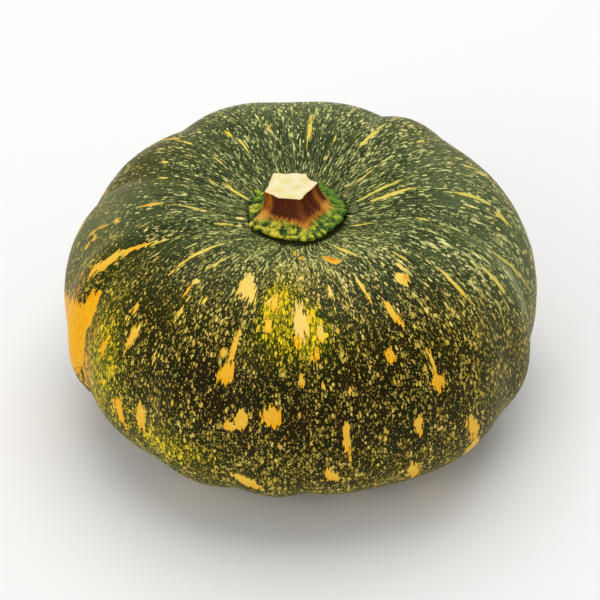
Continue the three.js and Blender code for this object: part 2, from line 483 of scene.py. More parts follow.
class Pad:
    """A new material's node tree, with short ways to add what the finishes need."""

    def __init__(self, name: str) -> None:
        """Starts a material with only its Principled shader."""
        self.material = bpy.data.materials.new(name)
        self.material.use_nodes = True
        self.tree = self.material.node_tree
        self.shader = self.tree.nodes["Principled BSDF"]

    def feed(self, socket: bpy.types.NodeSocket, value: object) -> None:
        """Links a socket to another one, or sets its own value."""
        if isinstance(value, bpy.types.NodeSocket):
            self.tree.links.new(value, socket)
        else:
            socket.default_value = value

    def attribute(self, name: str, output: str = "Fac") -> bpy.types.NodeSocket:
        """A value that the mesh holds at each vertex."""
        node = self.tree.nodes.new("ShaderNodeAttribute")
        node.attribute_name = name
        return node.outputs[output]

    def place(self) -> bpy.types.NodeSocket:
        """The object's own coordinates."""
        return self.tree.nodes.new("ShaderNodeTexCoord").outputs["Object"]

    def math(self, operation: str, first: object, second: object = 0.0) -> bpy.types.NodeSocket:
        """One sum of two numbers, such as ADD or MAXIMUM."""
        node = self.tree.nodes.new("ShaderNodeMath")
        node.operation = operation
        self.feed(node.inputs[0], first)
        self.feed(node.inputs[1], second)
        return node.outputs[0]

    def stretch(self, vector: object, scale: tuple[float, float, float]) -> bpy.types.NodeSocket:
        """Coordinates with each axis stretched."""
        node = self.tree.nodes.new("ShaderNodeMapping")
        self.feed(node.inputs["Vector"], vector)
        node.inputs["Scale"].default_value = scale
        return node.outputs["Vector"]

    def warp(self, vector: object, size: float, reach: float) -> bpy.types.NodeSocket:
        """Coordinates shaken by noise.

        Args:
            vector: the coordinates.
            size: the width of one swell of the noise.
            reach: how far a point moves at most.

        Returns:
            The shaken coordinates.
        """
        shake = self.tree.nodes.new("ShaderNodeTexNoise")
        self.feed(shake.inputs["Vector"], vector)
        shake.inputs["Scale"].default_value = 1 / size
        shake.inputs["Detail"].default_value = 2
        centre = self.tree.nodes.new("ShaderNodeVectorMath")
        centre.operation = "SUBTRACT"
        self.feed(centre.inputs[0], shake.outputs["Color"])
        centre.inputs[1].default_value = (0.5, 0.5, 0.5)
        move = self.tree.nodes.new("ShaderNodeVectorMath")
        move.operation = "MULTIPLY_ADD"
        self.feed(move.inputs[0], centre.outputs[0])
        move.inputs[1].default_value = (2 * reach,) * 3
        self.feed(move.inputs[2], vector)
        return move.outputs[0]

    def noise(self, vector: object, size: float, detail: float = 2.0) -> bpy.types.NodeSocket:
        """Smooth noise from 0 to 1, whose swells are this wide."""
        node = self.tree.nodes.new("ShaderNodeTexNoise")
        self.feed(node.inputs["Vector"], vector)
        node.inputs["Scale"].default_value = 1 / size
        node.inputs["Detail"].default_value = detail
        return node.outputs["Fac"]

    def cells(self, vector: object, size: float) -> tuple[bpy.types.NodeSocket, ...]:
        """Scattered points about this far apart: the distance to the nearest, and its two draws."""
        node = self.tree.nodes.new("ShaderNodeTexVoronoi")
        self.feed(node.inputs["Vector"], vector)
        node.inputs["Scale"].default_value = 1 / size
        split = self.tree.nodes.new("ShaderNodeSeparateColor")
        self.feed(split.inputs["Color"], node.outputs["Color"])
        return node.outputs["Distance"], split.outputs["Red"], split.outputs["Green"]

    def ramp(self, value: object, low: float, high: float,
             start: float = 0.0, end: float = 1.0) -> bpy.types.NodeSocket:
        """A soft ramp of a value between low and high, from start to end."""
        node = self.tree.nodes.new("ShaderNodeMapRange")
        node.interpolation_type = "SMOOTHSTEP"
        self.feed(node.inputs["Value"], value)
        node.inputs["From Min"].default_value = low
        node.inputs["From Max"].default_value = high
        node.inputs["To Min"].default_value = start
        node.inputs["To Max"].default_value = end
        return node.outputs["Result"]

    def shaken(self, value: object, noise: object, reach: float) -> bpy.types.NodeSocket:
        """A value moved up and down by noise, by this reach at most."""
        return self.math("ADD", value, self.ramp(noise, 0.3, 0.7, -reach, reach))

    def mix(self, share: object, first: object, second: object) -> bpy.types.NodeSocket:
        """The mix of two colours."""
        node = self.tree.nodes.new("ShaderNodeMix")
        node.data_type = "RGBA"
        self.feed(node.inputs["Factor"], share)
        colours = [socket for socket in node.inputs if socket.type == "RGBA"]
        self.feed(colours[0], first)
        self.feed(colours[1], second)
        return next(socket for socket in node.outputs if socket.type == "RGBA")

    def bump(self, height: object, depth: float, under: object = None) -> bpy.types.NodeSocket:
        """Relief of this depth, over other relief if there is some."""
        node = self.tree.nodes.new("ShaderNodeBump")
        node.inputs["Distance"].default_value = depth
        self.feed(node.inputs["Height"], height)
        if under is not None:
            self.feed(node.inputs["Normal"], under)
        return node.outputs["Normal"]


@dataclass(frozen=True)
class RindFinish:
    """Living squash rind: dark green, thickly freckled, with a waxy half gloss; its colours also hold
    painted sheen near the rims and, in part, on the crown, and painted shade in the crease round the stem.
    """

    # The crown's greyer, paler green is partly its own colour and partly painted sheen of the overhead
    # light.
    crown_dark: Colour = paint(28, 42, 14)
    crown_pale: Colour = paint(70, 84, 46)
    side_base: Colour = paint(38, 36, 2)
    green_dark: Colour = paint(20, 22, 0)
    brown_dark: Colour = paint(34, 20, 0)
    glow_dark: Colour = paint(44, 62, 2)
    glow_base: Colour = paint(190, 172, 6)
    flush_base: Colour = paint(226, 146, 6)
    # Painted shade: near-black in the crease round the stem, under the flare's edge.
    crease_shade: Colour = paint(10, 9, 3)
    # The crown's flecks are paler partly through painted sheen.
    crown_fleck: Colour = paint(186, 188, 102)
    crown_bright: Colour = paint(244, 238, 160)
    side_fleck: Colour = paint(168, 144, 36)
    side_bright: Colour = paint(238, 210, 100)
    gold_fleck: Colour = paint(236, 184, 68)
    glow_fleck: Colour = paint(250, 216, 20)
    bleached: Colour = paint(250, 226, 136)
    cream: Colour = paint(255, 212, 116)
    crown_cream: Colour = paint(226, 206, 88)
    straw: Colour = paint(244, 206, 80)
    lime: Colour = paint(218, 190, 50)
    gold: Colour = paint(250, 188, 52)
    orange: Colour = paint(255, 192, 12)
    ember: Colour = paint(254, 170, 0)
    # Painted sheen: the grey-green veil of reflected light near the rims.
    painted_sheen: Colour = paint(138, 148, 106)
    scar_pale: Colour = paint(176, 148, 92)
    scar_dark: Colour = paint(98, 74, 40)
    cork_rim: Colour = paint(238, 192, 64)
    cork: Colour = paint(238, 146, 10)
    cork_core: Colour = paint(112, 62, 8)
    sheen_tint: Colour = paint(206, 212, 116)
    sheen: float = 0.2
    sheen_roughness: float = 0.5
    specular: float = 0.06
    roughness: tuple[float, float] = (0.4, 0.52)
    grain_depth: float = 0.06 * MM

    def flecks(self, pad: Pad, skin: object, size: float, widths: tuple[float, float],
               crowd: object, dimmest: float = 0.35) -> object:
        """Scattered flecks of many sizes.

        Args:
            pad: the material.
            skin: coordinates along the skin.
            size: how far apart the flecks are.
            widths: the smallest and largest radius, as shares of that.
            crowd: widens the flecks, and so thickens them, where it is high.
            dimmest: the strength of the faintest fleck.

        Returns:
            Each fleck's strength, up to 1, and 0 between them.
        """
        distance, width, light = pad.cells(skin, size)
        radius = pad.math("MULTIPLY", pad.ramp(width, 0, 1, *widths), crowd)
        fleck = pad.ramp(pad.math("SUBTRACT", radius, distance), -0.03, 0.08)
        return pad.math("MULTIPLY", fleck, pad.ramp(light, 0.1, 0.9, dimmest, 1))

    def freckles(self, pad: Pad, skin: object, crown: object) -> tuple[object, object]:
        """All the flecks: round ones on the flank, drawn-out ones on the crown and large gold ones.

        Args:
            pad: the material.
            skin: coordinates along the skin.
            crown: 1 on the crown and 0 on the flank.

        Returns:
            The strength of all of them, and of the large ones alone.
        """
        crowd = pad.ramp(pad.noise(skin, 9 * MM, 2), 0.3, 0.7, 0.82, 1.16)
        crowd = pad.math("MULTIPLY", crowd, pad.ramp(pad.attribute("glow"), 0, 1, 1, 1.25))
        flank_crowd = pad.math("MULTIPLY", crowd, pad.attribute("flank_flecks"))
        crown_crowd = pad.math("MULTIPLY", crowd, pad.attribute("crown_flecks"))
        flank = pad.warp(skin, 1.2 * MM, 0.45 * MM)
        top = pad.warp(pad.attribute("crown_skin", "Vector"), 1.0 * MM, 0.24 * MM)
        all_flecks = self.flecks(pad, flank, 0.65 * MM, (0.08, 0.48), flank_crowd, 0.2)
        for skin_there, size, widths, crowd_there in (
                (flank, 1.35 * MM, (0.06, 0.52), flank_crowd),
                (top, 0.56 * MM, (0.06, 0.42), crown_crowd),
                (top, 0.94 * MM, (0.06, 0.52), crown_crowd),
                (pad.stretch(top, (1, 1, 0.45)), 1.3 * MM, (0.0, 0.4), crown_crowd)):
            layer = self.flecks(pad, skin_there, size, widths, crowd_there, 0.3)
            all_flecks = pad.math("MAXIMUM", all_flecks, layer)
        large = self.flecks(pad, pad.warp(skin, 2.0 * MM, 1.4 * MM), 4.2 * MM, (0.0, 0.22), crowd, 0.85)
        large = pad.math("MULTIPLY", large, pad.ramp(crown, 0, 1, 1, 0.3))
        return pad.math("MAXIMUM", all_flecks, large), large

    def build(self) -> bpy.types.Material:
        """Makes the material.

        Returns:
            The rind's material, which reads the fruit's own attributes.
        """
        pad = Pad("rind")
        skin = pad.attribute("skin", "Vector")
        crown = pad.attribute("crown")
        fleck, large = self.freckles(pad, skin, crown)

        patchy = pad.noise(skin, 7 * MM, 3)
        lobes = pad.noise(skin, 2.4 * MM, 2)
        fibres = pad.noise(pad.stretch(skin, (1, 1, 0.4)), 0.7 * MM, 2)
        veins = pad.noise(pad.stretch(pad.attribute("crown_skin", "Vector"), (1, 1, 0.22)), 1.1 * MM, 3)
        glow = pad.attribute("glow")
        flush = pad.ramp(pad.shaken(pad.attribute("flush"), lobes, 0.4), 0.35, 0.75)

        # The crown's colours hold partly painted sheen of the overhead light.
        top = pad.mix(pad.ramp(veins, 0.35, 0.65), self.crown_dark, self.crown_pale)
        deep = pad.mix(pad.ramp(patchy, 0.4, 0.6), self.brown_dark, self.green_dark)
        base = pad.mix(crown, self.side_base, top)
        base = pad.mix(pad.attribute("dark"), base, deep)
        base = pad.mix(glow, base, self.glow_dark)
        lit = pad.ramp(pad.shaken(glow, fibres, 0.55), 0.6, 1.1)
        base = pad.mix(pad.math("MULTIPLY", lit, 0.5), base, self.glow_base)
        base = pad.mix(flush, base, self.flush_base)

        strength = pad.ramp(pad.noise(skin, 1.9 * MM, 2), 0.35, 0.65)
        side = pad.mix(strength, self.side_fleck, self.side_bright)
        colour = pad.mix(crown, side, pad.mix(strength, self.crown_fleck, self.crown_bright))
        colour = pad.mix(pad.math("MULTIPLY", large, 0.8), colour, self.gold_fleck)
        colour = pad.mix(pad.ramp(glow, 0.1, 0.6), colour, self.glow_fleck)
        colour = pad.mix(flush, colour, self.orange)
        surface = pad.mix(fleck, base, colour)

        ragged = pad.math("ADD", pad.math("MULTIPLY", lobes, 0.45), pad.math("MULTIPLY", fibres, 0.55))
        spikes = pad.noise(pad.stretch(skin, (1, 1, 0.25)), 1.5 * MM, 1)
        tone = pad.shaken(pad.attribute("tone"), ragged, 0.14)
        tone = pad.math("ADD", tone, pad.ramp(pad.attribute("blotch"), 0, 0.6, 0.1, 0))
        tone = pad.math("SUBTRACT", tone, pad.ramp(crown, 0.35, 0.9, 0, 0.38))
        jagged = pad.shaken(pad.ramp(ragged, 0.3, 0.7, -0.6, 0.6), spikes, 0.45)
        jagged = pad.math("MULTIPLY", jagged, pad.ramp(crown, 0, 1, 1, 0.5))
        jagged = pad.math("SUBTRACT", jagged, pad.ramp(crown, 0.4, 1, 0, 0.2))
        blotch = pad.ramp(pad.math("ADD", pad.attribute("blotch"), jagged), -0.04, 0.14)
        mottled = pad.mix(pad.ramp(pad.noise(skin, 1.4 * MM, 3), 0.38, 0.62), self.orange, self.ember)
        warm = pad.mix(pad.ramp(tone, 0.0, 0.3), pad.mix(crown, self.cream, self.crown_cream),
                       pad.mix(crown, self.straw, self.lime))
        warm = pad.mix(pad.ramp(tone, 0.35, 0.6), warm, self.gold)
        warm = pad.mix(pad.ramp(tone, 0.6, 1.0), warm, mottled)
        warm = pad.mix(pad.ramp(tone, -1.0, -0.7), self.bleached, warm)
        surface = pad.mix(blotch, surface, warm)

        cork_edge = pad.shaken(pad.attribute("cork"), ragged, 0.3)
        scab = pad.mix(pad.ramp(cork_edge, 0.35, 0.7), self.cork_rim, self.cork)
        scab = pad.mix(pad.ramp(cork_edge, 0.9, 1.25), scab, self.cork_core)
        surface = pad.mix(pad.ramp(cork_edge, 0.0, 0.12), surface, scab)
        # Painted sheen: a grey-green veil laid over the skin near the rims.
        surface = pad.mix(pad.attribute("painted_sheen"), surface, self.painted_sheen)
        # Painted shade: the skin darkens to near-black in the crease under the flare's edge.
        crease_shade = pad.shaken(pad.attribute("crease_shade"), ragged, 0.6)
        surface = pad.mix(pad.ramp(crease_shade, 0.85, 1.35), surface, self.crease_shade)
        corky = pad.noise(pad.place(), 1.6 * MM, 3)
        scar = pad.mix(pad.ramp(corky, 0.4, 0.62), self.scar_pale, self.scar_dark)
        surface = pad.mix(pad.attribute("scar"), surface, scar)

        relief = pad.bump(pad.noise(pad.place(), 0.6 * MM, 2), self.grain_depth)
        pad.feed(pad.shader.inputs["Base Color"], surface)
        pad.feed(pad.shader.inputs["Roughness"], pad.ramp(patchy, 0.2, 0.8, *self.roughness))
        pad.feed(pad.shader.inputs["Normal"], relief)
        pad.shader.inputs["Specular IOR Level"].default_value = self.specular
        pad.shader.inputs["Sheen Weight"].default_value = self.sheen
        pad.shader.inputs["Sheen Roughness"].default_value = self.sheen_roughness
        pad.shader.inputs["Sheen Tint"].default_value = self.sheen_tint
        return pad.material


@dataclass(frozen=True)
class StalkFinish:
    """A cut squash stem: green flare, brown-red fibrous sides and a cream cut end, with painted light on the
    flare's lamp side and partly painted highlights on its pleats and the column's corners.
    """

    deep_green: Colour = paint(26, 52, 4)
    leaf_green: Colour = paint(96, 134, 18)
    lime: Colour = paint(214, 198, 52)
    amber: Colour = paint(198, 116, 22)
    rust: Colour = paint(74, 22, 4)
    bark: Colour = paint(132, 58, 16)
    straw: Colour = paint(226, 172, 72)
    cut: Colour = paint(240, 230, 182)
    cut_shade: Colour = paint(234, 214, 144)
    pore: Colour = paint(206, 176, 110)
    specular: float = 0.3
    roughness: float = 0.7
    fibre_depth: float = 0.12 * MM
    grain_depth: float = 0.1 * MM

    def build(self) -> bpy.types.Material:
        """Makes the material.

        Returns:
            The stem's material, which reads the stem's own attributes.
        """
        pad = Pad("stalk")
        skin = pad.attribute("skin", "Vector")
        rise = pad.attribute("rise")
        ridge = pad.attribute("ridge")
        fold = pad.attribute("fold")
        blurred = pad.noise(pad.stretch(skin, (1, 1, 0.5)), 2.6 * MM, 3)
        fibres = pad.noise(pad.stretch(skin, (1, 1, 0.12)), 0.7 * MM, 3)
        spots = pad.noise(pad.place(), 2.4 * MM, 2)

        # Partly painted light: lighter green on the pleats' crests and deeper green in their folds, over the
        # flare's own spots.
        lift = pad.math("ADD", pad.math("MULTIPLY", fold, 0.4), pad.ramp(spots, 0.25, 0.75, 0, 0.6))
        flare = pad.mix(pad.ramp(lift, 0.15, 0.7), self.deep_green, self.leaf_green)
        wide = pad.noise(pad.place(), 4.5 * MM, 2)
        # Painted light: more lime on the flare's side that faces the front-left lamp, added to its own lime
        # patches.
        lime_and_lit_side = pad.math("ADD", pad.math("ADD", lift, wide), pad.attribute("lamp_side_light"))
        flare = pad.mix(pad.ramp(lime_and_lit_side, 1.0, 1.6), flare, self.lime)
        side = pad.mix(pad.ramp(fibres, 0.4, 0.72), self.rust, self.bark)
        # Partly painted highlight: amber along the corners' edges.
        ridge_edge = pad.math("MULTIPLY", ridge, pad.ramp(blurred, 0.3, 0.6, 0.2, 1.0))
        side = pad.mix(ridge_edge, side, self.amber)
        height = pad.shaken(pad.shaken(rise, blurred, 0.05), fibres, 0.03)
        low_foot = pad.math("ADD", height, pad.math("MULTIPLY", ridge, 0.07))
        foot = pad.mix(pad.math("MULTIPLY", ridge, 0.7), self.amber, self.straw)
        surface = pad.mix(pad.ramp(low_foot, 0.25, 0.33), flare, foot)
        high_side = pad.math("SUBTRACT", height, pad.math("MULTIPLY", ridge, 0.05))
        surface = pad.mix(pad.ramp(high_side, 0.3, 0.4), surface, side)

        distance, draw, _ = pad.cells(pad.place(), 1.1 * MM)
        pore = pad.math("SUBTRACT", pad.math("MULTIPLY", draw, 0.26), distance)
        end = pad.mix(pad.ramp(pad.noise(pad.place(), 4 * MM, 3), 0.35, 0.7), self.cut, self.cut_shade)
        end = pad.mix(pad.ramp(pore, -0.06, 0.06, 0, 0.7), end, self.pore)
        surface = pad.mix(pad.attribute("cut"), surface, end)

        relief = pad.bump(fibres, self.fibre_depth)
        relief = pad.bump(pad.noise(pad.place(), 0.7 * MM, 2), self.grain_depth, relief)
        pad.feed(pad.shader.inputs["Base Color"], surface)
        pad.feed(pad.shader.inputs["Normal"], relief)
        pad.shader.inputs["Roughness"].default_value = self.roughness
        pad.shader.inputs["Specular IOR Level"].default_value = self.specular
        return pad.material


@dataclass(frozen=True)
class FloorFinish:
    """A plain pale matt floor."""

    colour: Colour = paint(246, 246, 245)
    specular: float = 0.1
    roughness: float = 0.9

    def build(self) -> bpy.types.Material:
        """Makes the floor's material."""
        pad = Pad("pale_floor")
        pad.shader.inputs["Base Color"].default_value = self.colour
        pad.shader.inputs["Roughness"].default_value = self.roughness
        pad.shader.inputs["Specular IOR Level"].default_value = self.specular
        return pad.material


def turned_mesh(name: str, radius: np.ndarray, height: np.ndarray, turns: int) -> bpy.types.Mesh:
    """A closed body turned round +Z.

    Args:
        name: the mesh's name.
        radius: the half section's radii, which start and end on the axis.
        height: the half section's heights, going up the outside.
        turns: how many steps round, a multiple of 8.

    Returns:
        The mesh, whose attribute "row" holds each vertex's place in the half section.
    """
    bm = bmesh.new()
    row = bm.verts.layers.float.new("row")
    section = [bm.verts.new((r, 0, z)) for r, z in zip(radius, height)]
    for index, vert in enumerate(section):
        vert[row] = index
    edges = [bm.edges.new(pair) for pair in zip(section, section[1:])]
    bmesh.ops.spin(bm, geom=section + edges, cent=(0, 0, 0), axis=(0, 0, 1), dvec=(0, 0, 0),
                   angle=2 * math.pi, steps=turns // SECTION_STRIPS, use_merge=True)
    rings = [edge for edge in bm.edges if abs(edge.verts[0][row] - edge.verts[1][row]) < 0.5]
    bmesh.ops.subdivide_edges(bm, edges=rings, cuts=SECTION_STRIPS - 1, use_grid_fill=True)
    bmesh.ops.remove_doubles(bm, verts=bm.verts, dist=MERGE_DISTANCE)
    bmesh.ops.recalc_face_normals(bm, faces=bm.faces)
    mesh = bpy.data.meshes.new(name)
    bm.to_mesh(mesh)
    bm.free()
    mesh.shade_smooth()
    return mesh


def read_azimuths(mesh: bpy.types.Mesh) -> np.ndarray:
    """Each vertex's azimuth."""
    flat = np.empty(len(mesh.vertices) * 3)
    mesh.vertices.foreach_get("co", flat)
    right, back, _ = flat.reshape(-1, 3).T
    return np.degrees(np.arctan2(back, right)) % 360


def read_rows(mesh: bpy.types.Mesh) -> np.ndarray:
    """Each vertex's place in the half section that the mesh was turned from."""
    rows = np.empty(len(mesh.vertices))
    mesh.attributes["row"].data.foreach_get("value", rows)
    return rows


def add_values(mesh: bpy.types.Mesh, name: str, values: np.ndarray) -> None:
    """Gives each vertex a value, or a vector, for the materials to read."""
    kind, key = ("FLOAT", "value") if values.ndim == 1 else ("FLOAT_VECTOR", "vector")
    mesh.attributes.new(name, kind, "POINT").data.foreach_set(key, values.ravel())


def placed_object(mesh: bpy.types.Mesh, points: np.ndarray,
                  material: bpy.types.Material) -> bpy.types.Object:
    """An object at the origin with the mesh's vertices moved to their places.

    Args:
        mesh: the mesh.
        points: where its vertices go.
        material: its finish.

    Returns:
        The object, in the scene.
    """
    mesh.vertices.foreach_set("co", points.ravel())
    mesh.update()
    mesh.materials.append(material)
    piece = bpy.data.objects.new(mesh.name, mesh)
    bpy.context.scene.collection.objects.link(piece)
    return piece


@dataclass(frozen=True)
class Fruit:
    """The fruit: a ribbed, flattened body with a hollow crown and a blossom scar."""

    radius: float = 105 * MM
    equator: float = 46 * MM
    crest_radius: float = 53.6 * MM
    crest_height: float = 105.4 * MM
    foot_radius: float = 32 * MM
    flank_power: float = 2.28
    pressed_flat: float = 0.25 * MM
    ring_radius: float = 22.4 * MM
    ring_height: float = 96.3 * MM
    crease_radius: float = 18.2 * MM
    crease_height: float = 94.6 * MM
    seat_radius: float = 16.4 * MM
    seat_height: float = 93.2 * MM
    crown_drift: tuple[float, float] = (-1.9 * MM, 3.0 * MM)
    basin_depth: float = 4.6 * MM
    basin_rings: tuple[float, ...] = (0.52, 0.72, 0.88, 1.0)
    basin_falls: tuple[float, ...] = (0.6, 0.24, 0.0)
    scar_radius: float = 7 * MM
    scar_relief: float = 1.1 * MM
    scar_rings: tuple[float, ...] = (0.0, 0.55, 1.0, 1.15)
    furrow_rounding: float = 0.03
    rib_share_at_ends: float = 0.28
    flank_angles: tuple[int, ...] = (0, 10, 20, 30, 40, 50, 60, 70, 79, 86, 90)
    foot_row: int = 7
    crown_steps: int = 5
    seat_rows: int = 3
    turns: int = 456
    row_gap: float = 1.3 * MM
    fine_rows: int = 8000
    rib_fade_power: float = 0.8
    swell_relief: float = 0.45 * MM
    ripple_relief: float = 0.12 * MM
    wrinkle_relief: float = 0.3 * MM
    least_wrinkle: float = 0.06 * MM
    wrinkle_stretch: float = 0.22
    scab_rise: float = 0.9 * MM
    scar_edge: tuple[float, float] = (1.15, 0.85)
    skin_stretch: float = 0.55
    crown_skin_share: float = 0.52
    crown_skin_stretch: float = 0.32
    fleck_change: tuple[float, float] = (64 * MM, 30 * MM)
    crown_fade: tuple[float, float] = (75 * MM, 10 * MM)
    # Painted shade: the width of the dark band in the crease under the flare.
    crease_shade_width: float = 2.7 * MM

    @property
    def equator_row(self) -> int:
        """The row of the section at the widest ring."""
        return self.foot_row + len(self.flank_angles) - 1

    @property
    def crest_row(self) -> int:
        """The row of the section at the highest ring."""
        return self.equator_row + len(self.flank_angles) - 1

    @property
    def ring_row(self) -> int:
        """The row of the section where the stem's flare meets the skin."""
        return self.crest_row + self.crown_steps

    @property
    def last_row(self) -> int:
        """The row of the section on the axis, in the middle of the stem's seat."""
        return self.ring_row + self.seat_rows

    def flank(self, ring_radius: float, rise: float, degrees: np.ndarray) -> tuple[np.ndarray, np.ndarray]:
        """A quarter of the section, from the equator to its highest or lowest ring.

        Args:
            ring_radius: that ring's radius.
            rise: that ring's height over the equator, which is negative for the lowest ring.
            degrees: the places between the two, 0 at the equator and 90 at the ring.

        Returns:
            The radius and height at each place.
        """
        angle = np.radians(degrees)
        out = np.clip(np.cos(angle), 0, 1) ** (2 / self.flank_power)
        up = np.sin(angle) ** (2 / self.flank_power)
        return lerp(ring_radius, self.radius, out), self.equator + rise * up

    def section(self, row: np.ndarray) -> tuple[np.ndarray, np.ndarray]:
        """The half section, from the blossom scar out, up the flank and into the crown.

        Args:
            row: places along it, in rows of the flank's angles and the crown's steps.

        Returns:
            The radius and height at each place.
        """
        basin, proud = self.basin_depth, self.scar_relief
        blossom_radius = [*(share * self.scar_radius for share in self.scar_rings),
                          *(share * self.foot_radius for share in self.basin_rings)]
        blossom_height = [basin - proud / 2, basin - proud, basin - proud / 2, basin,
                          *(share * basin for share in self.basin_falls), -self.pressed_flat]
        steps = np.arange(len(self.flank_angles))
        lower = self.flank(self.foot_radius, -self.equator - self.pressed_flat,
                           np.interp(self.equator_row - row, steps, self.flank_angles))
        upper = self.flank(self.crest_radius, self.crest_height - self.equator,
                           np.interp(row - self.equator_row, steps, self.flank_angles))
        share = np.clip((row - self.crest_row) / self.crown_steps, 0, 1)
        fall = (smooth_step(share, 0, 1) + share**2) / 2
        crown = (lerp(self.crest_radius, self.ring_radius, share),
                 lerp(self.crest_height, self.ring_height, fall))
        past_ring = row - self.ring_row
        seat_steps = np.arange(self.seat_rows + 1)
        seat_radii = [self.ring_radius, self.crease_radius, self.seat_radius, 0]
        seat_heights = [self.ring_height, self.crease_height, self.seat_height, self.seat_height]
        seat = (np.interp(past_ring, seat_steps, seat_radii), np.interp(past_ring, seat_steps, seat_heights))
        low_row = np.clip(row, 0, self.foot_row)
        blossom = (curve_through(blossom_radius, low_row), curve_through(blossom_height, low_row))
        parts = [row < self.foot_row, row < self.equator_row, row < self.crest_row, row < self.ring_row]
        pieces = (blossom, lower, upper, crown)
        radius, height = (np.select(parts, [piece[i] for piece in pieces], seat[i]) for i in (0, 1))
        return radius, height

    def even_rows(self) -> tuple[np.ndarray, np.ndarray]:
        """Rows at even steps along the skin.

        Returns:
            The rows, and each one's arc from the stem's ring.
        """
        fine = np.linspace(0, self.last_row, self.fine_rows)
        radius, height = self.section(fine)
        way = np.concatenate([[0], np.cumsum(np.hypot(np.diff(radius), np.diff(height)))])
        even = np.linspace(0, way[-1], int(way[-1] / self.row_gap) + 1)
        rows = np.interp(even, way, fine)
        return rows, np.interp(self.ring_row, fine, way) - even

    def normals(self, row: np.ndarray) -> tuple[np.ndarray, np.ndarray]:
        """The way that the section faces at each row: its outward and upward parts."""
        step = 0.4
        before = self.section(np.clip(row - step, 0, self.last_row))
        after = self.section(np.clip(row + step, 0, self.last_row))
        along_out, along_up = after[0] - before[0], after[1] - before[1]
        length = np.hypot(along_out, along_up)
        return along_up / length, -along_out / length

    def rib_relief(self, azimuth: np.ndarray) -> np.ndarray:
        """How far the ribs move the skin out: they swell between rounded furrows."""
        turns = np.array([furrow.azimuth for furrow in FURROWS])
        depths = np.array([furrow.depth for furrow in FURROWS])
        ribs = np.array([furrow.swell for furrow in FURROWS])
        before, after, share = ring_places(turns, azimuth)
        low = math.sqrt(self.furrow_rounding)
        high = math.sqrt(1 + self.furrow_rounding)
        arch = (np.sqrt(np.sin(np.pi * share) ** 2 + self.furrow_rounding) - low) / (high - low)
        return lerp(-lerp(depths[before], depths[after], share), ribs[before], arch)

    def rib_strength(self, row: np.ndarray, radius: np.ndarray) -> np.ndarray:
        """How strong the ribs are: full on the flank, faint towards the stem and the scar."""
        ends = self.rib_share_at_ends
        share = np.clip((row - self.foot_row) / (self.ring_row - self.foot_row), 0, 1)
        flank = lerp(ends, 1, np.sin(np.pi * share) ** self.rib_fade_power)
        under = ends * smooth_step(radius, self.scar_radius, self.foot_radius)
        return np.select([row < self.foot_row, row <= self.ring_row], [under, flank], 0)

    def fine_relief(self, azimuth: np.ndarray, arc: np.ndarray, points: np.ndarray) -> np.ndarray:
        """The skin's small relief: slow swells, radial wrinkles and raised scabs.

        Args:
            azimuth: each vertex's azimuth.
            arc: its arc.
            points: its coordinates.

        Returns:
            How far each vertex moves out.
        """
        round_skin = about_axis(azimuth, self.radius, self.wrinkle_stretch * arc)
        wrinkles = swells(round_skin, 4.5 * MM, 3.1) + 0.5 * swells(round_skin, 2.2 * MM, 8.4)
        strength = self.least_wrinkle + self.wrinkle_relief * smooth_step(arc, 60 * MM, 5 * MM)
        relief = self.swell_relief * swells(points, 26 * MM, 1.3)
        relief = relief + self.ripple_relief * swells(points, 9 * MM, 5.7)
        relief = relief + strength * wrinkles
        scab = np.clip(self.deepest(SCABS, azimuth, arc)[0], 0, 0.5)
        relief = relief + self.scab_rise * scab
        return relief * smooth_step(arc, -1 * MM, 4 * MM)

    @staticmethod
    def deepest(marks: Sequence[Mark], azimuth: np.ndarray,
                arc: np.ndarray) -> tuple[np.ndarray, np.ndarray]:
        """How deep each vertex lies in the mark that it is deepest in, and the tone there."""
        far_outside = -2.0
        level = np.full(azimuth.shape, far_outside)
        tone = np.full(azimuth.shape, Tone.GOLD.value)
        for mark in marks:
            depth, warmth = mark.reading(azimuth, arc)
            tone = np.where(depth > level, warmth, tone)
            level = np.maximum(depth, level)
        return level, tone

    def dress(self, mesh: bpy.types.Mesh, azimuth: np.ndarray, arc: np.ndarray) -> None:
        """Gives the skin the attributes that its finish reads.

        Its skin coordinates are those of a cylinder, so that a pattern narrows where the fruit does.

        Args:
            mesh: the fruit's mesh.
            azimuth: each vertex's azimuth.
            arc: its arc.
        """
        marks = FRONT_MARKS + BACK_MARKS + HiddenMarks().drawn()
        level, tone = self.deepest(marks, azimuth, arc)
        crown_radius = self.crown_skin_share * self.radius
        add_values(mesh, "skin", about_axis(azimuth, self.radius, self.skin_stretch * arc))
        add_values(mesh, "crown_skin", about_axis(azimuth, crown_radius, self.crown_skin_stretch * arc))
        add_values(mesh, "blotch", level)
        add_values(mesh, "tone", tone)
        add_values(mesh, "cork", self.deepest(SCABS, azimuth, arc)[0])
        # The last pair here is painted sheen: a veil near the rims.
        for name, zones in (("dark", DARK_ZONES), ("glow", GLOW_ZONES), ("flush", FLUSH_ZONES),
                            ("painted_sheen", PAINTED_SHEEN_ZONES)):
            add_values(mesh, name, np.clip(total_level(zones, azimuth, arc), 0, 1))
        crowd = 1 + total_level(FRECKLE_ZONES, azimuth, arc)
        crown_arc = arc - MM * total_level(CROWN_ZONES, azimuth, arc)
        near = smooth_step(crown_arc, *self.fleck_change)
        add_values(mesh, "flank_flecks", crowd * (1 - near**2))
        add_values(mesh, "crown_flecks", crowd * (1 - (1 - near) ** 2))
        # The crown mask also places the crown's partly painted sheen.
        add_values(mesh, "crown", smooth_step(crown_arc, *self.crown_fade))
        # Painted shade: rises towards the flare's edge, for the dark band in the crease.
        add_values(mesh, "crease_shade", np.clip(1 - arc / self.crease_shade_width, -1, 2))

